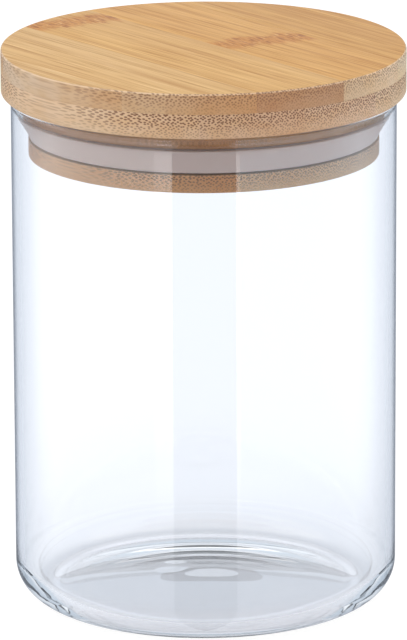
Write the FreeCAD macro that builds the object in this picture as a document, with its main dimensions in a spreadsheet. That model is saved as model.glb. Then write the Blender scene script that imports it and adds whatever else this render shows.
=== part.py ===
import FreeCAD, Part
import math
import os
import Sketcher

# Lidded glass canister: a round borosilicate jar, a turned bamboo lid that plugs its mouth,
# and the silicone ring that seals the plug against the glass.
#
# Frame: +Z up, +X to the right, origin at the centre of the jar's foot, on the table.
# The lid is one turned block, glued up from bamboo lamellae in five plies. Each lamella is a
# piece of its own: a flat strip of the glued board, cut to the turned outline of the lid.

DOCUMENT = "canister"
PARTS = "parts"

# Driving dimensions in mm, and one angle in degrees: alias, value.
SIZES = [
    # glass jar
    ("jar_height", 135.0),
    ("jar_radius", 50.0),
    ("wall_thickness", 2.0),
    ("rim_flare", 0.5),
    ("rim_depth", 3.0),
    ("rim_round", 0.9),
    ("corner_radius", 9.5),
    ("hollow_corner", 8.0),
    ("foot_width", 2.0),
    ("punt_height", 2.4),
    ("floor_height", 3.0),
    ("floor_crown", 1.4),
    ("button_radius", 12.0),
    ("button_height", 0.3),
    # turned lid
    ("seat_gap", 0.1),
    ("lid_radius", 52.5),
    ("lid_edge_round", 0.6),
    ("lid_edge_chamfer", 0.9),
    ("plug_radius", 45.5),
    ("plug_depth", 15.5),
    ("plug_edge_round", 0.6),
    ("groove_radius", 42.0),
    ("groove_top_depth", 3.8),
    ("groove_width", 7.0),
    # bamboo board
    ("top_ply", 5.4),
    ("lower_ply", 6.5),
    ("plug_ply", 5.2),
    ("strip_width", 24.8),
    ("board_length", 120.0),
    ("grain_turn", 39.0),
    ("outer_joint_shift", 3.2),
    ("inner_joint_shift", 15.6),
    ("middle_joint_shift", 19.6),
    # silicone ring
    ("ring_clearance", 0.08),
    ("ring_top_gap", 0.1),
    ("ring_height", 6.45),
    ("ring_base_radius", 45.4),
    ("lip_radius", 47.75),
    ("lip_thickness", 0.8),
    ("lip_root_height", 5.0),
]


class Size:
    """A length, with the expression that ties it to the sheet."""

    def __init__(self, value, text):
        self.value = value
        self.text = text

    def __add__(self, other):
        return Size(self.value + other.value, f"({self.text} + {other.text})")

    def __sub__(self, other):
        return Size(self.value - other.value, f"({self.text} - {other.text})")

    def __mul__(self, factor):
        return Size(self.value * factor, f"({self.text} * {factor})")


def make_sheet(doc):
    """Write the sizes to a sheet and return them by name."""
    sheet = doc.addObject("Spreadsheet::Sheet", "Sizes")
    for row, (alias, value) in enumerate(SIZES, start=1):
        sheet.set(f"A{row}", alias)
        sheet.set(f"B{row}", str(value))
        sheet.setAlias(f"B{row}", alias)
    doc.recompute()
    return {alias: Size(value, f"Sizes.{alias}") for alias, value in SIZES}


def new_body(doc, name):
    body = doc.addObject("PartDesign::Body", name)
    body.Label = name
    return body


def origin_plane(body, role):
    return next(plane for plane in body.Origin.OriginFeatures if plane.Role == role)


def arc_between(start, end, radius, turn):
    """Arc from start to end; turn is 1 for anticlockwise and -1 for clockwise."""
    middle = (start + end) * 0.5
    chord = end - start
    rise = math.sqrt(max(radius**2 - (chord.Length / 2) ** 2, 0.0))
    left = FreeCAD.Vector(-chord.y, chord.x, 0).normalize()
    centre = middle + left * (rise * turn)
    first, last = (start, end) if turn > 0 else (end, start)
    angles = [math.atan2(point.y - centre.y, point.x - centre.x) for point in (first, last)]
    circle = Part.Circle(centre, FreeCAD.Vector(0, 0, 1), radius)
    return Part.ArcOfCircle(circle, angles[0], angles[1])


def pin_to_origin(sketch, side, end, kind, size):
    """Hold one end of a side at a radius (DistanceX) or a height (DistanceY)."""
    if size is None:
        axis = -2 if kind == "DistanceX" else -1
        sketch.addConstraint(Sketcher.Constraint("PointOnObject", side, end, axis))
        return
    index = sketch.addConstraint(Sketcher.Constraint(kind, -1, 1, side, end, size.value))
    sketch.setExpression(f"Constraints[{index}]", size.text)


def lathe_sketch(body, name, corners, arcs):
    """Closed half section in the XZ plane, with every corner tied to the sheet.

    corners are (radius, height) pairs, None for a corner on the axis or on the table. arcs maps
    the corner that a side starts from to the side's radius and turn; other sides are straight.
    """
    sketch = body.newObject("Sketcher::SketchObject", name)
    sketch.AttachmentSupport = [(origin_plane(body, "XZ_Plane"), "")]
    sketch.MapMode = "FlatFace"
    points = [
        FreeCAD.Vector(radius.value if radius else 0, height.value if height else 0, 0)
        for radius, height in corners
    ]
    ends = []
    for side, start in enumerate(points):
        end = points[(side + 1) % len(points)]
        if side in arcs:
            radius, turn = arcs[side]
            sketch.addGeometry(arc_between(start, end, radius.value, turn), False)
            ends.append((1, 2) if turn > 0 else (2, 1))
        else:
            sketch.addGeometry(Part.LineSegment(start, end), False)
            ends.append((1, 2))
    for side, (radius, height) in enumerate(corners):
        before = side - 1 if side else len(corners) - 1
        joint = Sketcher.Constraint("Coincident", before, ends[before][1], side, ends[side][0])
        sketch.addConstraint(joint)
        pin_to_origin(sketch, side, ends[side][0], "DistanceX", radius)
        pin_to_origin(sketch, side, ends[side][0], "DistanceY", height)
    for side, (radius, _) in arcs.items():
        index = sketch.addConstraint(Sketcher.Constraint("Radius", side, radius.value))
        sketch.setExpression(f"Constraints[{index}]", radius.text)
    return sketch


def turned_body(doc, name, corners, arcs):
    """A body turned about Z from one closed half section."""
    body = new_body(doc, name)
    sketch = lathe_sketch(body, f"{name}_section", corners, arcs)
    turning = body.newObject("PartDesign::Revolution", f"{name}_turning")
    turning.Profile = sketch
    turning.ReferenceAxis = (sketch, ["V_Axis"])
    turning.Angle = 360
    sketch.Visibility = False
    doc.recompute()
    return body


def cap_radius(half_chord, rise):
    """Radius of the sphere whose cap has this half chord and rise."""
    value = (half_chord.value**2 + rise.value**2) / (2 * rise.value)
    chord, height = half_chord.text, rise.text
    return Size(value, f"(({chord}) ^ 2 + ({height}) ^ 2) / (2 * {height})")


def glass_jar(doc, size):
    """Straight wall, flared fire-polished rim, round corner, flat foot ring and hollow punt.

    The floor rises to a low button at its centre, where the end of the glass was closed.
    """
    outer = size["jar_radius"]
    inner = outer - size["wall_thickness"]
    rim = size["jar_height"]
    lip = outer + size["rim_flare"]
    lip_round = size["rim_round"]
    corner = size["corner_radius"]
    hollow = size["hollow_corner"]
    floor = size["floor_height"]
    foot_outer = outer - corner
    foot_inner = foot_outer - size["foot_width"]
    crown = floor + size["floor_crown"]
    button = size["button_radius"]
    floor_edge = inner - hollow
    corners = [
        (None, size["punt_height"]),
        (foot_inner, None),
        (foot_outer, None),
        (outer, corner),
        (outer, rim - size["rim_depth"]),
        (lip, rim - lip_round),
        (lip - lip_round, rim),
        (inner + lip_round, rim),
        (inner, rim - lip_round),
        (inner, floor + hollow),
        (floor_edge, floor),
        (button, crown),
        (None, crown + size["button_height"]),
    ]
    floor_span = floor_edge - button
    arcs = {
        0: (cap_radius(foot_inner, size["punt_height"]), -1),
        2: (corner, 1),
        5: (lip_round, 1),
        7: (lip_round, 1),
        9: (hollow, -1),
        10: (cap_radius(floor_span, size["floor_crown"]), 1),
        11: (cap_radius(button, size["button_height"]), 1),
    }
    return turned_body(doc, "glass_jar", corners, arcs)


def turned_lid(doc, size):
    """Outline of the whole lid: a disc over the rim, and a grooved plug in the mouth."""
    radius = size["lid_radius"]
    plug = size["plug_radius"]
    root = size["groove_radius"]
    under = size["jar_height"] + size["seat_gap"]
    top = under + size["lower_ply"] + size["top_ply"]
    groove_top = under - size["groove_top_depth"]
    groove_bottom = groove_top - size["groove_width"]
    bottom = under - size["plug_depth"]
    edge = size["lid_edge_round"]
    chamfer = size["lid_edge_chamfer"]
    plug_edge = size["plug_edge_round"]
    corners = [
        (None, bottom),
        (plug - plug_edge, bottom),
        (plug, bottom + plug_edge),
        (plug, groove_bottom),
        (root, groove_bottom),
        (root, groove_top),
        (plug, groove_top),
        (plug, under),
        (radius - chamfer, under),
        (radius, under + chamfer),
        (radius, top - edge),
        (radius - edge, top),
        (None, top),
    ]
    arcs = {1: (plug_edge, 1), 10: (edge, 1)}
    return turned_body(doc, "turned_lid", corners, arcs)


def silicone_seal(doc, size):
    """Ring that sits in the plug's groove, with a lip that flares up and out to the glass."""
    inner = size["groove_radius"] + size["ring_clearance"]
    groove_top = size["jar_height"] + size["seat_gap"] - size["groove_top_depth"]
    top = groove_top - size["ring_top_gap"]
    bottom = top - size["ring_height"]
    base = size["ring_base_radius"]
    lip = size["lip_radius"]
    half_tip = size["lip_thickness"] * 0.5
    tip_height = top - half_tip
    corners = [
        (inner, bottom),
        (base, bottom),
        (lip, tip_height),
        (lip - size["lip_thickness"], tip_height),
        (base - half_tip, bottom + size["lip_root_height"]),
        (base - half_tip * 2, top),
        (inner, top),
    ]
    return turned_body(doc, "silicone_seal", corners, {2: (half_tip, 1)})


def lamella(doc, outline, name, low_side, width, low_face, thickness, size):
    """One strip of the glued board, cut to the turned outline and set along the grain."""
    board = doc.addObject("Part::Box", f"{name}_board")
    board.setExpression("Length", width.text)
    board.setExpression("Width", size["board_length"].text)
    board.setExpression("Height", thickness.text)
    board.setExpression("Placement.Base.x", low_side.text)
    board.setExpression("Placement.Base.y", f"-{size['board_length'].text} / 2")
    board.setExpression("Placement.Base.z", low_face.text)
    strip = doc.addObject("Part::Common", name)
    strip.Label = name
    strip.Base = outline
    strip.Tool = board
    strip.Placement.Rotation.Axis = FreeCAD.Vector(0, 0, 1)
    strip.setExpression("Placement.Rotation.Angle", size["grain_turn"].text)
    return strip


def ply(doc, outline, name, low_face, thickness, joint_shift, reach, size):
    """One ply: side by side strips, whose joints lie whole strip widths from joint_shift.

    reach is the radius of the turned outline that the ply has to cover.
    """
    width = size["strip_width"]
    first = math.ceil((-reach.value - joint_shift.value) / width.value) - 1
    last = math.floor((reach.value - joint_shift.value) / width.value)
    strips = []
    for number, step in enumerate(range(first, last + 1), start=1):
        low_side = joint_shift + width * step
        strip_name = f"{name}_strip_{number}"
        strips.append(
            lamella(doc, outline, strip_name, low_side, width, low_face, thickness, size)
        )
    return strips


def bamboo_lid(doc, size):
    """Five plies with staggered joints: two in the disc, three in the plug."""
    outline = turned_lid(doc, size)
    under = size["jar_height"] + size["seat_gap"]
    plug_ply = size["plug_ply"]
    lowest_ply = size["plug_depth"] - plug_ply * 2
    outer_shift = size["outer_joint_shift"]
    inner_shift = size["inner_joint_shift"]
    middle_shift = size["middle_joint_shift"]
    lid, plug, root = size["lid_radius"], size["plug_radius"], size["groove_radius"]
    plies = [
        ("top_ply", under + size["lower_ply"], size["top_ply"], outer_shift, lid),
        ("lower_ply", under, size["lower_ply"], inner_shift, lid),
        ("plug_upper", under - plug_ply, plug_ply, outer_shift, plug),
        ("plug_middle", under - plug_ply * 2, plug_ply, middle_shift, root),
        ("plug_lower", under - size["plug_depth"], lowest_ply, outer_shift, plug),
    ]
    strips = []
    for name, low_face, thickness, joint_shift, reach in plies:
        strips += ply(doc, outline, name, low_face, thickness, joint_shift, reach, size)
    return strips


def check_document(doc, pieces):
    """Stop if any object failed or any piece isn't one valid solid."""
    for item in doc.Objects:
        if "Invalid" in item.State or "Error" in item.State:
            raise RuntimeError(f"{item.Label} is {item.State}")
    for piece in pieces:
        shape = piece.Shape
        if shape.isNull() or not shape.isValid() or len(shape.Solids) != 1:
            raise RuntimeError(f"{piece.Label} isn't one valid solid")


def export_pieces(pieces):
    os.makedirs(PARTS, exist_ok=True)
    for piece in pieces:
        piece.Shape.exportStep(f"{PARTS}/{piece.Label}.step")
        box = piece.Shape.BoundBox
        print(
            f"{piece.Label:22s} {piece.Shape.Volume / 1000:8.2f} cm3"
            f"  z {box.ZMin:7.2f} to {box.ZMax:7.2f}"
        )


def main():
    doc = FreeCAD.newDocument(DOCUMENT)
    size = make_sheet(doc)
    pieces = [glass_jar(doc, size), silicone_seal(doc, size)]
    pieces += bamboo_lid(doc, size)
    doc.recompute()
    check_document(doc, pieces)
    export_pieces(pieces)


main()
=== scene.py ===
import math

import bmesh
import bpy
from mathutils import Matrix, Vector


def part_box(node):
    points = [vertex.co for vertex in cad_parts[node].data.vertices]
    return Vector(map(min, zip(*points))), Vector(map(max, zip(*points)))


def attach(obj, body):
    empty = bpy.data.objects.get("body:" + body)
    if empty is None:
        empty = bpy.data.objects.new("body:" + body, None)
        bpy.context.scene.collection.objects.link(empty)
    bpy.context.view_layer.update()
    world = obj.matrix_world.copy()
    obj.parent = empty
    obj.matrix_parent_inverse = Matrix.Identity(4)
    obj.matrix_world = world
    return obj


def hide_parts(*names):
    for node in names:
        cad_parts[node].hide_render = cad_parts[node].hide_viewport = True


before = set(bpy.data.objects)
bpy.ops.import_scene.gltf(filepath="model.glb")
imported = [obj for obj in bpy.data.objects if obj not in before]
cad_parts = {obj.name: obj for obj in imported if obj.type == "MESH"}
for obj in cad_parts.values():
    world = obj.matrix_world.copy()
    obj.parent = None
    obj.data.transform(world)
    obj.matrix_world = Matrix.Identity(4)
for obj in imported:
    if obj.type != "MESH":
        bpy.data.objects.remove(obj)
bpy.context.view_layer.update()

MM = 0.001

# The frame's own sizes
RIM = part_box("glass_jar")[1].z
SEAL_LOW, SEAL_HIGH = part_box("silicone_seal")

# Glass jar
JAR_RADIUS = 50.0 * MM
WALL = 2.0 * MM
RIM_FLARE = 0.5 * MM
RIM_DEPTH = 3.0 * MM
RIM_ROUND = 0.9 * MM
CORNER = 9.5 * MM
HOLLOW_CORNER = 8.0 * MM
FOOT_WIDTH = 2.0 * MM
PUNT = 2.4 * MM
FLOOR = 3.0 * MM
FLOOR_CROWN = 1.4 * MM
JAR_SEGMENTS = 256
UNDERSIDE_RINGS = 24
CORNER_STEPS = 24
WALL_RINGS = 41
FLARE_STEPS = 8
RIM_STEPS = 8
FLOOR_RINGS = 60

# The floor of a blown jar isn't quite true: low swellings, as x, y, radius and height.
SWELLINGS = [
    (1.5 * MM, -12.0 * MM, 18.0 * MM, 0.5 * MM),
    (-8.0 * MM, 6.0 * MM, 6.0 * MM, 0.08 * MM),
]

# Silicone ring
RING_CLEARANCE = 0.08 * MM
RING_BASE = 45.4 * MM
RING_LIP = 47.9 * MM
LIP_TIP = 0.35 * MM
RING_ROUND = 0.4 * MM
RING_SEGMENTS = 192
LIP_STEPS = 10

# Bamboo lid
LID_RADIUS = 52.5 * MM
PLUG_RADIUS = 45.5 * MM
GROOVE_RADIUS = 42.0 * MM
SEAT_GAP = 0.1 * MM
GROOVE_DROP = 3.8 * MM
GROOVE_WIDTH = 7.0 * MM
GROOVE_TOP = RIM + SEAT_GAP - GROOVE_DROP
GROOVE_BOTTOM = GROOVE_TOP - GROOVE_WIDTH
TOP_ROUND = 0.6 * MM
UNDER_CHAMFER = 0.9 * MM
PLUG_ROUND = 0.6 * MM
SEAM = 0.06 * MM
ARC_STEP = math.radians(1.5)
GRAIN_TURN = math.radians(39.0)
ACROSS = Vector((math.cos(GRAIN_TURN), math.sin(GRAIN_TURN), 0.0))
ALONG = Vector((-math.sin(GRAIN_TURN), math.cos(GRAIN_TURN), 0.0))

# Bamboo colours. A strip's factors, in the tone table below, multiply the first five; its rim
# factors carry painted sheen and shade besides the strip's own tone.
LIGHT_BAND = (0.7, 0.43, 0.172)
DARK_BAND = (0.57, 0.31, 0.105)
DARK_STREAK = (0.42, 0.2, 0.055)
LIGHT_STREAK = (0.88, 0.62, 0.32)
RIM_TONE = (0.645, 0.44, 0.26)
RIM_STAIN = (0.92, 0.8, 0.62, 1)
# Painted highlight for the rounded top edge of the lid.
TOP_EDGE_HIGHLIGHT = (0.88, 0.64, 0.41, 1)
PORE = (0.19, 0.072, 0.03, 1)
KNOT_STAIN = (0.55, 0.22, 0.042, 1)
KNOT_DASH = (0.31, 0.09, 0.015, 1)
KNOT_SPECK = (0.82, 0.6, 0.34, 1)

# Glass and silicone colours
CLEAR_GLASS = [(0.975, 0.985, 0.995, 1), (0.985, 0.992, 1.0, 1)]
# Painted shade at the jar's silhouette: a blue-grey tint and a dark outline.
GLASS_EDGE_SHADE = (0.68, 0.75, 0.83, 1)
GLASS_EDGE_SHADOW_LINE = (0.1, 0.12, 0.16, 1)
SILICONE = [(0.74, 0.56, 0.49, 1), (0.82, 0.645, 0.57, 1)]

# Fibre bundles: how many across a metre, and how far they wander
BUNDLE_PITCH = 1100.0
BUNDLE_DRIFT = 2.2 * MM

# Studio: angles round the object are measured from the viewer's side, heights as sines.
WALL_TOP = math.sin(math.radians(15.8))
WALL_LINE = 0.024
BACK_WALL = (0.95, 1.0, 1.06, 1)
FRONT_WALL = (0.4, 0.4, 0.4, 1)
UPPER_WALL = (0.6, 0.68, 0.77, 1)
TOP_LIGHT = (1.45, 1.45, 1.45, 1)
TOP_LIGHT_RISE = (0.68, 0.8)
PANEL_START = math.radians(18.9)
PANEL_BLUR = 0.006
PANEL_FADE = (1.7, 2.3)
STRIP_END = {"left": PANEL_START * 1.58, "right": PANEL_START * 1.13}
LEFT_PANEL = (2.7, 2.7, 2.7, 1)
RIGHT_PANEL = (2.0, 2.5, 2.9, 1)
BRIGHT_STRIP = (4.2, 4.2, 4.2, 1)
LOW_PANEL = (1.4, 1.4, 1.4 * 1.05, 1)
BEHIND = (0.3, 0.33, 0.38, 1)
PANEL_GAP = (0.15, 0.15, 0.15, 1)
BACKDROP = (1.05, 1.05, 1.05, 1)
BLACK = (0.0, 0.0, 0.0, 1)
FLOOR_PAINT = (0.42, 0.42, 0.42, 1)
FLOOR_SHADE = (0.41, 0.41, 0.415, 1)
FLOOR_GLOW = (0.52, 0.535, 0.58, 1)
FLOOR_SEEN = (0.1, 0.1, 0.1, 1)
GLOW_SEEN = (0.95, 0.95, 0.95, 1)
KEY_PLACE = (-0.9, -0.5, 1.4)
KEY_TARGET = (0.0, 0.0, 0.1)
KEY_SIZE = 1.0
KEY_POWER = 6.0

# Camera: a long lens, from a little above
CAMERA_PLACE = (-0.00029, -1.6322, 0.5308)
CAMERA_FALL = 15.65
CAMERA_ROLL = -0.0042
CAMERA_LENS = 364.7
CAMERA_SENSOR = 36.0


# ---------------------------------------------------------------- meshes


def arc(centre, radius, start, end, steps):
    """Points (r, z) on an arc round centre, from one angle to another in degrees."""
    points = []
    for step in range(steps + 1):
        angle = math.radians(start + (end - start) * step / steps)
        points.append((centre[0] + radius * math.cos(angle), centre[1] + radius * math.sin(angle)))
    return points


def finish_mesh(name, builder, sharp=35.0):
    """Make an object of a bmesh: outward faces, smooth except across edges over sharp degrees."""
    bmesh.ops.remove_doubles(builder, verts=builder.verts, dist=1e-7)
    bmesh.ops.recalc_face_normals(builder, faces=builder.faces)
    mesh = bpy.data.meshes.new(name)
    builder.to_mesh(mesh)
    builder.free()
    for polygon in mesh.polygons:
        polygon.use_smooth = True
    mesh.set_sharp_from_angle(angle=math.radians(sharp))
    piece = bpy.data.objects.new(name, mesh)
    bpy.context.scene.collection.objects.link(piece)
    return piece


def lathe(name, section, segments, sharp=35.0):
    """Turn a closed section of (r, z) points about Z. Points on the axis become poles."""
    builder = bmesh.new()
    rings = []
    for radius, height in section:
        if radius < 1e-9:
            rings.append([builder.verts.new((0, 0, height))])
            continue
        ring = []
        for segment in range(segments):
            angle = 2 * math.pi * segment / segments
            ring.append(
                builder.verts.new((radius * math.cos(angle), radius * math.sin(angle), height))
            )
        rings.append(ring)
    for number, ring in enumerate(rings):
        after = rings[(number + 1) % len(rings)]
        if len(ring) == 1 and len(after) == 1:
            continue
        for segment in range(segments):
            corner = (segment + 1) % segments
            face = [
                ring[segment % len(ring)],
                ring[corner % len(ring)],
                after[corner % len(after)],
                after[segment % len(after)],
            ]
            builder.faces.new(list(dict.fromkeys(face)))
    return finish_mesh(name, builder, sharp)


# ---------------------------------------------------------------- materials


class Nodes:
    """Short calls for the nodes of one material, or of the world."""

    def __init__(self, owner):
        self.owner = owner
        owner.use_nodes = True
        self.tree = owner.node_tree
        self.shader = self.tree.nodes.get("Principled BSDF") or self.tree.nodes["Background"]

    def add(self, kind, inputs=None, **settings):
        """Add a node; inputs maps a socket's name or number to a value or another socket."""
        node = self.tree.nodes.new(kind)
        for key, value in settings.items():
            setattr(node, key, value)
        for key, value in (inputs or {}).items():
            self.put(node.inputs[key], value)
        return node

    def put(self, socket, value):
        if isinstance(value, bpy.types.NodeSocket):
            self.tree.links.new(value, socket)
        else:
            socket.default_value = value

    def shade(self, **inputs):
        for name, value in inputs.items():
            self.put(self.shader.inputs[name.replace("_", " ")], value)

    def math(self, operation, first, second=0.0, third=0.0):
        values = {0: first, 1: second, 2: third}
        return self.add("ShaderNodeMath", values, operation=operation).outputs[0]

    def product(self, first, second):
        return self.math("MULTIPLY", first, second)

    def vector(self, operation, *values):
        inputs = dict(enumerate(values))
        return self.add("ShaderNodeVectorMath", inputs, operation=operation).outputs[0]

    def split(self, vector):
        return self.add("ShaderNodeSeparateXYZ", {0: vector}).outputs

    def ease(self, value, low, high, to_low=0.0, to_high=1.0):
        """Smooth step of value from low to high."""
        inputs = {
            "Value": value,
            "From Min": low,
            "From Max": high,
            "To Min": to_low,
            "To Max": to_high,
        }
        node = self.add("ShaderNodeMapRange", inputs, interpolation_type="SMOOTHSTEP")
        return node.outputs["Result"]

    def blend(self, share, first, second, mode="MIX"):
        node = self.add("ShaderNodeMix", data_type="RGBA", blend_type=mode)
        self.put(node.inputs[0], share)
        self.put(node.inputs[6], first)
        self.put(node.inputs[7], second)
        return node.outputs[2]

    def noise(self, vector, scale, detail=2.0, roughness=0.5):
        inputs = {"Vector": vector, "Scale": scale, "Detail": detail, "Roughness": roughness}
        return self.add("ShaderNodeTexNoise", inputs).outputs["Fac"]

    def stretched(self, place, scales, detail, roughness=0.5):
        """Noise with its own scale along each axis."""
        return self.noise(self.vector("MULTIPLY", place, scales), 1.0, detail, roughness)

    def bump(self, strength, distance, height):
        inputs = {"Strength": strength, "Distance": distance, "Height": height}
        self.put(self.shader.inputs["Normal"], self.add("ShaderNodeBump", inputs).outputs[0])


def glass_material():
    """Clear glass, faintly blue, with painted shade where the eye looks along the outer wall: a
    blue-grey tint and a dark outline towards the silhouette.
    """
    nodes = Nodes(bpy.data.materials.new("clear_glass"))
    facing = nodes.add("ShaderNodeLayerWeight", {"Blend": 0.5}).outputs["Facing"]
    place = nodes.add("ShaderNodeTexCoord").outputs["Object"]
    flat = nodes.vector("MULTIPLY", place, (1.0, 1.0, 0.0))
    radius = nodes.add("ShaderNodeVectorMath", {0: flat}, operation="LENGTH").outputs["Value"]
    outer = nodes.ease(radius, JAR_RADIUS - 0.75 * WALL, JAR_RADIUS - 0.25 * WALL)
    cloud = nodes.noise(nodes.vector("MULTIPLY", place, (1.0, 1.0, 0.35)), 22.0)
    clear = nodes.blend(cloud, *CLEAR_GLASS)
    # Painted shade: a blue-grey tint, and nearer the silhouette a dark line, on the outer wall
    # where the eye looks along it.
    edge_shade = nodes.product(nodes.ease(facing, 0.5, 0.86), outer)
    line = nodes.product(nodes.ease(facing, 0.78, 0.9), outer)
    colour = nodes.blend(edge_shade, clear, GLASS_EDGE_SHADE)
    colour = nodes.blend(line, colour, GLASS_EDGE_SHADOW_LINE)
    nodes.bump(0.12, 0.03 * MM, cloud)
    nodes.shade(Base_Color=colour, Roughness=0.0, IOR=1.47, Transmission_Weight=1.0)
    return nodes.owner


def silicone_material():
    """Milky, slightly see-through silicone with a satin skin and fine moulding speckle."""
    nodes = Nodes(bpy.data.materials.new("silicone"))
    place = nodes.add("ShaderNodeTexCoord").outputs["Object"]
    speckle = nodes.noise(place, 900.0, 3.0)
    cloud = nodes.noise(place, 60.0)
    colour = nodes.blend(cloud, *SILICONE)
    rough = nodes.ease(speckle, 0.3, 0.7, 0.38, 0.52)
    nodes.bump(0.15, 0.05 * MM, speckle)
    nodes.shade(Base_Color=colour, Roughness=rough, IOR=1.41, Subsurface_Weight=0.25)
    nodes.shade(Subsurface_Radius=(0.004, 0.003, 0.003), Subsurface_Scale=0.5)
    return nodes.owner


# ---------------------------------------------------------------- the jar


def floor_height(radius, floor_edge):
    """Height of the inside of the floor, which is crowned over the punt."""
    return FLOOR + FLOOR_CROWN * (1 - (radius / floor_edge) ** 2)


def swell(mesh):
    """Raise the low swellings of a blown floor in its upper face."""
    for vertex in mesh.vertices:
        place = vertex.co
        inside = math.hypot(place.x, place.y) < JAR_RADIUS - WALL
        if not inside or not FLOOR - 0.01 * MM < place.z < FLOOR + 3 * MM:
            continue
        for x, y, radius, height in SWELLINGS:
            share = math.hypot(place.x - x, place.y - y) / radius
            if share < 1:
                place.z += height * (1 - share * share) ** 2


def glass_section():
    """Half section of the jar, from the middle of its underside round to that of its floor."""
    inner = JAR_RADIUS - WALL
    foot_outer = JAR_RADIUS - CORNER
    foot_inner = foot_outer - FOOT_WIDTH
    floor_edge = inner - HOLLOW_CORNER
    section = []
    for step in range(UNDERSIDE_RINGS):
        share = step / UNDERSIDE_RINGS
        section.append((foot_inner * share, PUNT * (1 - share**2)))
    section.append((foot_inner, 0.0))
    section += arc((foot_outer, CORNER), CORNER, -90, 0, CORNER_STEPS)
    for step in range(1, WALL_RINGS):
        share = step / WALL_RINGS
        section.append((JAR_RADIUS, CORNER + (RIM - RIM_DEPTH - CORNER) * share))
    lip = JAR_RADIUS + RIM_FLARE
    for step in range(FLARE_STEPS + 1):
        share = step / FLARE_STEPS
        bulge = RIM_FLARE * share * share * (3 - 2 * share)
        section.append((JAR_RADIUS + bulge, RIM - RIM_DEPTH + (RIM_DEPTH - RIM_ROUND) * share))
    section += arc((lip - RIM_ROUND, RIM - RIM_ROUND), RIM_ROUND, 0, 90, RIM_STEPS)[1:]
    section += arc((inner + RIM_ROUND, RIM - RIM_ROUND), RIM_ROUND, 90, 180, RIM_STEPS)
    low = FLOOR + HOLLOW_CORNER
    for step in range(1, WALL_RINGS):
        share = step / WALL_RINGS
        section.append((inner, RIM - RIM_ROUND + (low - RIM + RIM_ROUND) * share))
    section += arc((floor_edge, low), HOLLOW_CORNER, 0, -90, CORNER_STEPS)
    for step in range(1, FLOOR_RINGS):
        radius = floor_edge * (1 - step / FLOOR_RINGS)
        section.append((radius, floor_height(radius, floor_edge)))
    section.append((0.0, floor_height(0.0, floor_edge)))
    return section


def make_jar():
    jar = lathe("glass_jar_body", glass_section(), JAR_SEGMENTS)
    swell(jar.data)
    jar.data.materials.append(glass_material())
    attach(jar, "jar")
    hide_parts("glass_jar")


# ---------------------------------------------------------------- the silicone ring


def make_seal():
    inner = GROOVE_RADIUS + RING_CLEARANCE
    top = SEAL_HIGH.z
    bottom = SEAL_LOW.z
    flare = top - bottom - 0.8 * MM
    section = arc((inner + RING_ROUND, bottom + RING_ROUND), RING_ROUND, 180, 270, 4)
    section += arc((RING_BASE - 0.5 * MM, bottom + 0.5 * MM), 0.5 * MM, 270, 340, 5)
    for step in range(1, LIP_STEPS):
        share = step / LIP_STEPS
        radius = RING_BASE + (RING_LIP - RING_BASE) * share
        section.append((radius, bottom + 0.4 * MM + flare * share**0.9))
    section += arc((RING_LIP - LIP_TIP, top - LIP_TIP), LIP_TIP, -10, 190, 8)
    section += arc((RING_BASE - 0.2 * MM, top - 0.3 * MM), LIP_TIP, -10, -190, 6)
    section += arc((RING_BASE - 1.2 * MM, top - RING_ROUND), RING_ROUND, 0, 90, 4)
    section += arc((inner + RING_ROUND, top - RING_ROUND), RING_ROUND, 90, 180, 4)
    seal = lathe("silicone_ring", section, RING_SEGMENTS)
    seal.data.materials.append(silicone_material())
    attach(seal, "seal")
    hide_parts("silicone_seal")


# ---------------------------------------------------------------- the bamboo lid


def strip_extent(node):
    """Where a strip lies across the grain and in height, read from its CAD solid."""
    across = [ACROSS.dot(vertex.co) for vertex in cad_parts[node].data.vertices]
    low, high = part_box(node)
    return min(across), max(across), low.z, high.z


def make_strip(node, levels, material):
    """Build one strip from its rim levels: (radius, height, inset) from bottom to top."""
    low, high, _, _ = strip_extent(node)
    reach = max(level[0] for level in levels)
    caps = (low < -reach + SEAM, high > reach - SEAM)
    widest = math.pi if caps[0] else math.acos(max(-1.0, low / reach))
    narrow = 0.0 if caps[1] else math.acos(min(1.0, high / reach))
    count = max(6, math.ceil((widest - narrow) / ARC_STEP))
    builder = bmesh.new()
    rings = []
    for radius, height, inset in levels:
        far = math.pi if caps[0] else math.acos(max(-1.0, (low + inset) / radius))
        near = 0.0 if caps[1] else math.acos(min(1.0, (high - inset) / radius))
        angles = [-far + (far - near) * step / count for step in range(count + 1)]
        back = [-angle for angle in reversed(angles)]
        back = back[1 if caps[1] else 0 : len(back) - (1 if caps[0] else 0)]
        ring = []
        for angle in angles + back:
            flat = ACROSS * (radius * math.cos(angle)) + ALONG * (radius * math.sin(angle))
            ring.append(builder.verts.new((flat.x, flat.y, height)))
        rings.append(ring)
    for ring, above in zip(rings, rings[1:]):
        for number in range(len(ring)):
            after = (number + 1) % len(ring)
            builder.faces.new((ring[number], ring[after], above[after], above[number]))
    builder.faces.new(list(reversed(rings[0])))
    builder.faces.new(rings[-1])
    strip = finish_mesh(f"{node}_bamboo", builder, 30.0)
    strip.data.materials.append(material)
    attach(strip, "lid")
    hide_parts(node)


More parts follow.
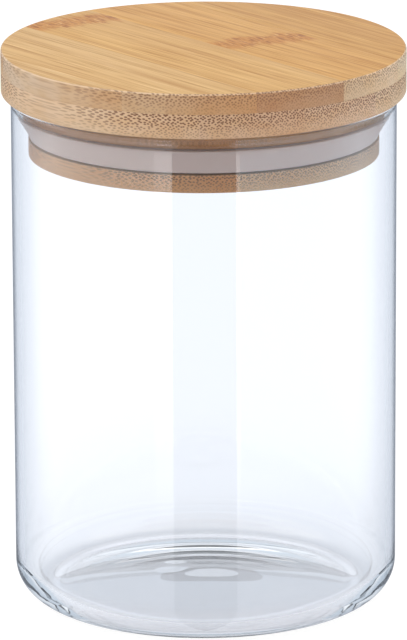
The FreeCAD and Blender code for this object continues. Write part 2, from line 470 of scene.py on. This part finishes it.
def ply_levels(name, low, high):
    """The turned rim of each ply, with a hair-line seam at its glued edges."""
    if name == "top_ply":
        rim = [(LID_RADIUS - SEAM, low, SEAM), (LID_RADIUS, low + SEAM, 0)]
        centre = (LID_RADIUS - TOP_ROUND, high - TOP_ROUND)
        rounding = arc(centre, TOP_ROUND, 0, 90, 6)
        rim += [(radius, height, 0) for radius, height in rounding[:-1]]
        return rim + [(rounding[-1][0], high, SEAM)]
    if name == "lower_ply":
        return [
            (LID_RADIUS - UNDER_CHAMFER, low, SEAM),
            (LID_RADIUS - UNDER_CHAMFER * 0.6, low + 0.15 * MM, 0),
            (LID_RADIUS - 0.15 * MM, low + UNDER_CHAMFER * 0.6, 0),
            (LID_RADIUS, low + UNDER_CHAMFER, 0),
            (LID_RADIUS, high - SEAM, 0),
            (LID_RADIUS - SEAM, high, SEAM),
        ]
    if name == "plug_upper":
        return [
            (GROOVE_RADIUS, low, SEAM),
            (GROOVE_RADIUS, GROOVE_TOP, 0),
            (PLUG_RADIUS - SEAM, GROOVE_TOP, 0),
            (PLUG_RADIUS, GROOVE_TOP + SEAM, 0),
            (PLUG_RADIUS, high - SEAM, 0),
            (PLUG_RADIUS, high, SEAM),
        ]
    if name == "plug_middle":
        return [(GROOVE_RADIUS, low, 0), (GROOVE_RADIUS, high, 0)]
    centre = (PLUG_RADIUS - PLUG_ROUND, low + PLUG_ROUND)
    rounding = arc(centre, PLUG_ROUND, -90, 0, 6)
    rim = [(rounding[0][0], low, SEAM)]
    rim += [(radius, height, 0) for radius, height in rounding[1:]]
    rim += [
        (PLUG_RADIUS, GROOVE_BOTTOM - SEAM, 0),
        (PLUG_RADIUS - SEAM, GROOVE_BOTTOM, 0),
        (GROOVE_RADIUS, GROOVE_BOTTOM, 0),
        (GROOVE_RADIUS, high, 0),
    ]
    return rim


def tint(colour, factor):
    """A colour times a factor for each channel, with its alpha."""
    return tuple(channel * share for channel, share in zip(colour, factor)) + (1,)


def fibre_pores(nodes, place, height, end_grain, strength):
    """Cut ends of the fibre bundles, which wander a little on their way along the strip."""
    scales = nodes.vector("MULTIPLY", place, (60.0, 22.0, 60.0))
    drift = nodes.add("ShaderNodeTexNoise", {"Vector": scales, "Scale": 1.0, "Detail": 1.0})
    centred = nodes.vector("SUBTRACT", drift.outputs["Color"], (0.5, 0.5, 0.5))
    moved = nodes.vector("MULTIPLY_ADD", centred, (BUNDLE_DRIFT, 0.0, BUNDLE_DRIFT), place)
    parts = nodes.split(nodes.vector("MULTIPLY", moved, (BUNDLE_PITCH, 1.0, BUNDLE_PITCH)))
    rising = nodes.math("ADD", parts["X"], parts["Z"])
    falling = nodes.math("SUBTRACT", parts["X"], parts["Z"])
    grid = nodes.add("ShaderNodeCombineXYZ", {0: rising, 1: falling}).outputs[0]
    cells = nodes.add(
        "ShaderNodeTexVoronoi",
        {"Vector": grid, "Scale": 1.0, "Randomness": 0.65},
        voronoi_dimensions="2D",
    )
    size = nodes.math("MULTIPLY_ADD", height, 0.08, 0.27)
    bundle = nodes.ease(nodes.math("SUBTRACT", cells.outputs["Distance"], size), 0.12, -0.12)
    depth = nodes.ease(height, -0.2, 0.9, strength * 0.35, strength)
    return nodes.product(nodes.product(bundle, depth), nodes.ease(end_grain, 0.02, 0.6, 0.3, 1.0))


def sanded_face(nodes, place, streaks, fine, face):
    """Long colour bands, with fine dark and light streaks along the grain."""
    bands = nodes.stretched(place, (380.0, 7.0, 160.0), 3.0)
    base = nodes.blend(nodes.ease(bands, 0.38, 0.7), tint(LIGHT_BAND, face), tint(DARK_BAND, face))
    base = nodes.blend(nodes.product(fine, 0.6), base, tint(DARK_STREAK, face))
    bright = nodes.product(nodes.ease(streaks, 0.42, 0.28), 0.6)
    return nodes.blend(bright, base, tint(LIGHT_STREAK, face))


def turned_rim_and_light(nodes, where, place, rim, fade):
    """The dull turned rim, whose tone runs from rim[0] to rim[1] over the x range fade: the
    strip's own tone together with painted sheen and shade across the front.
    """
    # Painted sheen and shade: the rim tone changes across the front of the lid.
    share = nodes.ease(nodes.split(where)["X"], *fade)
    dull = nodes.blend(share, tint(RIM_TONE, rim[0]), tint(RIM_TONE, rim[1]))
    cloud = nodes.stretched(place, (120.0, 120.0, 260.0), 3.0)
    return nodes.blend(nodes.ease(cloud, 0.35, 0.7, 0.0, 0.6), dull, RIM_STAIN, "MULTIPLY")


def add_knot(nodes, colour, turned, place, knot):
    """A ragged patch of short dark dashes across the strip, where the culm had a node."""
    along, slant = knot
    ragged = nodes.stretched(place, (420.0, 50.0, 300.0), 4.0, 0.6)
    line = nodes.math("MULTIPLY_ADD", turned["X"], slant, along)
    offset = nodes.math("SUBTRACT", turned["Y"], line)
    offset = nodes.math("MULTIPLY_ADD", nodes.math("SUBTRACT", ragged, 0.5), 14 * MM, offset)
    band = nodes.ease(nodes.math("ABSOLUTE", offset), 7 * MM, 3 * MM)
    stained = nodes.blend(nodes.product(band, 0.7), colour, KNOT_STAIN)
    grain = nodes.stretched(place, (1700.0, 240.0, 500.0), 2.0)
    dashes = nodes.product(band, nodes.ease(grain, 0.5, 0.62))
    stained = nodes.blend(nodes.product(dashes, 0.85), stained, KNOT_DASH)
    specks = nodes.product(band, nodes.ease(grain, 0.38, 0.3))
    return nodes.blend(nodes.product(specks, 0.6), stained, KNOT_SPECK)


def bamboo_material(node, tone, fade, pores, knot):
    """Caramelised bamboo as a solid texture: fibre bundles run along the grain.

    A face across the grain shows the bundles as dark pores, and a face along it shows them
    as streaks. tone holds the strip's own factors, as in the tone table, whose rim factors also
    carry painted sheen and shade; pores is the strength of the pores, and knot is (distance
    along the grain, slant) of a culm node that crosses the strip.
    """
    face, *rim = tone
    _, _, low, high = strip_extent(node)
    number = int(node[-1])
    shift = (0.031 * number, 0.173 * number, 0.013 * len(node))
    nodes = Nodes(bpy.data.materials.new(f"{node}_wood"))
    coordinates = nodes.add("ShaderNodeTexCoord").outputs
    grain = {"Rotation": (0.0, 0.0, -GRAIN_TURN)}
    where = coordinates["Object"]
    turned = nodes.add("ShaderNodeMapping", {"Vector": where, **grain}).outputs[0]
    place = nodes.vector("ADD", turned, shift)
    normal = coordinates["Normal"]
    aim = nodes.add("ShaderNodeMapping", {"Vector": normal, **grain}).outputs[0]
    level = nodes.split(normal)["Z"]
    upright = nodes.ease(nodes.math("ABSOLUTE", level), 0.98, 0.8)
    end_grain = nodes.math("ABSOLUTE", nodes.split(aim)["Y"])
    height = nodes.ease(nodes.split(turned)["Z"], low, high)
    streaks = nodes.stretched(place, (2500.0, 36.0, 1100.0), 3.0)
    fine = nodes.ease(streaks, 0.5, 0.66)
    pore = fibre_pores(nodes, place, height, end_grain, pores)

    base = sanded_face(nodes, place, streaks, fine, face)
    base = nodes.blend(
        nodes.product(upright, 0.85), base, turned_rim_and_light(nodes, where, place, rim, fade)
    )
    # Painted highlight on edges that slope upward, such as the rounded top edge.
    edge_highlight = nodes.product(nodes.ease(level, 0.15, 0.45), nodes.ease(level, 0.97, 0.7))
    base = nodes.blend(nodes.product(edge_highlight, 0.6), base, TOP_EDGE_HIGHLIGHT)
    strength = nodes.math("MULTIPLY_ADD", upright, 0.8, 0.2)
    colour = nodes.blend(nodes.product(pore, strength), base, PORE)
    if knot:
        colour = add_knot(nodes, colour, nodes.split(turned), place, knot)

    relief = nodes.math("MULTIPLY_ADD", pore, -1.0, nodes.product(fine, -0.3))
    nodes.bump(0.3, 0.08 * MM, relief)
    nodes.shade(Base_Color=colour, Roughness=nodes.math("MULTIPLY_ADD", fine, 0.12, 0.5), IOR=1.45)
    return nodes.owner


# Each strip's tone, by ply, in order across the grain: the sanded face, then the turned
# rim at the left and at the right end of its front. The rim factors carry painted sheen and
# shade besides the strip's own tone: lighter and greyer at the far left and right, where light
# grazes the rim, and darker towards the front right.
TONES_AND_RIM_LIGHT = {
    "top_ply": [
        ((1.0, 1.0, 1.0), (0.97, 1.06, 1.24), (0.88, 0.76, 0.66)),
        ((1.0, 0.98, 0.93), (0.91, 0.88, 0.88), (0.88, 0.65, 0.49)),
        ((1.0, 0.94, 0.8), (0.75, 0.54, 0.46), (0.76, 0.6, 0.56)),
        ((0.98, 0.85, 0.62), (1.02, 1.05, 1.1), (1.3, 1.42, 1.6)),
        ((0.94, 0.82, 0.6), (1.35, 1.6, 1.85), (1.35, 1.6, 1.85)),
    ],
    "lower_ply": [
        ((1.0, 1.0, 1.0), (1.12, 1.15, 1.24), (1.06, 1.0, 1.03)),
        ((1.0, 1.0, 1.0), (1.05, 1.0, 1.08), (0.98, 0.84, 0.84)),
        ((0.98, 0.96, 0.92), (1.02, 0.94, 1.0), (1.12, 1.12, 1.3)),
        ((0.99, 0.99, 0.98), (1.2, 1.25, 1.4), (1.25, 1.35, 1.5)),
        ((1.0, 1.0, 1.0), (1.2, 1.25, 1.4), (1.2, 1.25, 1.4)),
    ],
    "plug_upper": [
        ((0.9, 0.8, 0.7), (1.04, 0.82, 0.64), (1.12, 0.78, 0.5)),
        ((0.82, 0.68, 0.5), (1.05, 0.86, 0.66), (1.0, 0.8, 0.6)),
        ((0.86, 0.74, 0.6), (1.0, 0.86, 0.7), (1.0, 0.9, 0.76)),
        ((0.9, 0.84, 0.76), (1.0, 0.84, 0.7), (1.0, 0.84, 0.7)),
    ],
    "plug_middle": [((0.8, 0.66, 0.55), (0.7, 0.38, 0.2), (0.7, 0.38, 0.2))] * 4,
    "plug_lower": [
        ((0.92, 0.84, 0.76), (1.26, 1.0, 0.78), (1.14, 0.74, 0.46)),
        ((0.82, 0.72, 0.56), (1.22, 1.08, 0.88), (1.24, 1.12, 0.94)),
        ((0.88, 0.8, 0.7), (1.24, 1.14, 1.0), (1.2, 1.1, 0.96)),
        ((0.9, 0.86, 0.8), (1.1, 1.0, 0.9), (1.1, 1.0, 0.9)),
    ],
}
KNOTS = {
    "top_ply_strip_3": (0.0425, -0.2),
    "top_ply_strip_4": (-0.001, -0.2),
}
PORES = {
    "top_ply": 0.7,
    "lower_ply": 1.0,
    "plug_upper": 0.25,
    "plug_middle": 0.8,
    "plug_lower": 0.8,
}
CAP_FADE = 30.0 * MM


def front_fade(low, high):
    """The x range that the strip's rim covers on the front of the lid."""
    ends = []
    for across in (low, high):
        angle = GRAIN_TURN - math.acos(max(-1.0, min(1.0, across / LID_RADIUS)))
        ends.append(LID_RADIUS * math.cos(angle))
    if low < -LID_RADIUS + 2 * UNDER_CHAMFER:
        ends[0] = ends[1] - CAP_FADE
    return ends[0], max(ends[1], ends[0] + MM)


def make_lid():
    for ply, tones in TONES_AND_RIM_LIGHT.items():
        for number, tone in enumerate(tones, start=1):
            node = f"{ply}_strip_{number}"
            left, right, low, high = strip_extent(node)
            fade = front_fade(left, right)
            material = bamboo_material(node, tone, fade, PORES[ply], KNOTS.get(node))
            make_strip(node, ply_levels(ply, low, high), material)


# ---------------------------------------------------------------- the set


def make_floor():
    """A plain pale floor, which the eye sees as white and the glass sees lit and glowing."""
    builder = bmesh.new()
    bmesh.ops.create_grid(builder, x_segments=8, y_segments=8, size=4.0)
    floor = finish_mesh("floor", builder)
    nodes = Nodes(bpy.data.materials.new("floor_paint"))
    cloud = nodes.noise(nodes.add("ShaderNodeTexCoord").outputs["Object"], 3.0)
    seen = nodes.add("ShaderNodeLightPath").outputs["Is Camera Ray"]
    paint = nodes.blend(seen, nodes.blend(cloud, FLOOR_PAINT, FLOOR_SHADE), FLOOR_SEEN)
    glow = nodes.blend(seen, FLOOR_GLOW, GLOW_SEEN)
    nodes.shade(Base_Color=paint, Roughness=0.9, Emission_Color=glow, Emission_Strength=1.0)
    floor.data.materials.append(nodes.owner)
    floor.visible_glossy = False


def tent_light(nodes, front, rise):
    """The tent's walls, bright at the back, with a dark seam, a dimmer top and a top light."""
    wall = nodes.blend(nodes.ease(front, -0.1, 0.9), BACK_WALL, FRONT_WALL)
    upper = nodes.ease(rise, WALL_TOP - 0.004, WALL_TOP + 0.004)
    tent = nodes.blend(upper, wall, UPPER_WALL)
    seam = nodes.math("COMPARE", rise, WALL_TOP, WALL_LINE)
    tent = nodes.blend(seam, tent, BLACK)
    return nodes.blend(nodes.ease(rise, *TOP_LIGHT_RISE), tent, TOP_LIGHT)


def panel_light(nodes, sideways, turn, rise):
    """A soft panel on each side of the lens, with a brighter strip along its near edge."""
    side = nodes.ease(sideways, -0.05, 0.05)
    reach = nodes.math("ABSOLUTE", turn)
    panel = nodes.blend(side, LEFT_PANEL, RIGHT_PANEL)
    ends = [(STRIP_END[name],) * 3 + (1,) for name in ("left", "right")]
    strip = nodes.math("LESS_THAN", reach, nodes.blend(side, *ends))
    panel = nodes.blend(strip, panel, BRIGHT_STRIP)
    panel = nodes.blend(nodes.ease(rise, -0.27, -0.31), panel, LOW_PANEL)
    panel = nodes.blend(nodes.ease(reach, *PANEL_FADE), panel, BEHIND)
    gap = nodes.ease(reach, PANEL_START + PANEL_BLUR, PANEL_START - PANEL_BLUR)
    return nodes.blend(gap, panel, PANEL_GAP)


def make_world():
    """A white tent, darker on the viewer's side.

    Mirror reflections also see the panels, whose near edges leave a dark gap between them.
    """
    world = bpy.data.worlds.new("studio")
    bpy.context.scene.world = world
    nodes = Nodes(world)
    way = nodes.split(nodes.add("ShaderNodeTexCoord").outputs["Generated"])
    rise = way["Z"]
    front = nodes.product(way["Y"], -1.0)
    turn = nodes.math("ARCTAN2", way["X"], front)
    tent = tent_light(nodes, front, rise)
    panels = panel_light(nodes, way["X"], turn, rise)
    mirror = nodes.blend(nodes.ease(rise, -0.05, 0.1), panels, tent)
    path = nodes.add("ShaderNodeLightPath").outputs
    seen = nodes.blend(path["Is Glossy Ray"], tent, mirror)
    seen = nodes.blend(path["Is Camera Ray"], seen, BACKDROP)
    nodes.shade(Color=seen, Strength=1.0)


def make_key_light():
    """A weak soft light from the upper left."""
    data = bpy.data.lights.new("key", "AREA")
    data.shape = "RECTANGLE"
    data.size = KEY_SIZE
    data.size_y = KEY_SIZE
    data.energy = KEY_POWER
    light = bpy.data.objects.new("key", data)
    bpy.context.scene.collection.objects.link(light)
    light.location = KEY_PLACE
    aim = Vector(KEY_TARGET) - Vector(KEY_PLACE)
    light.rotation_euler = aim.to_track_quat("-Z", "Y").to_euler()
    light.visible_camera = False
    light.visible_transmission = False


def make_camera():
    data = bpy.data.cameras.new("camera")
    data.sensor_width = CAMERA_SENSOR
    data.lens = CAMERA_LENS
    data.clip_end = 20.0
    camera = bpy.data.objects.new("camera", data)
    bpy.context.scene.collection.objects.link(camera)
    camera.rotation_mode = "XYZ"
    camera.location = CAMERA_PLACE
    camera.rotation_euler = (math.radians(90.0 - CAMERA_FALL), 0.0, 0.0)
    camera.rotation_euler.rotate_axis("Z", CAMERA_ROLL)
    bpy.context.scene.camera = camera


make_jar()
make_seal()
make_lid()
make_floor()
make_world()
make_key_light()
make_camera()
bpy.context.scene.view_settings.view_transform = "Standard"

# Light that is guided round inside the thick glass reflects many times before it leaves.
bpy.context.scene.cycles.max_bounces = 32
bpy.context.scene.cycles.glossy_bounces = 24
bpy.context.scene.cycles.transmission_bounces = 24
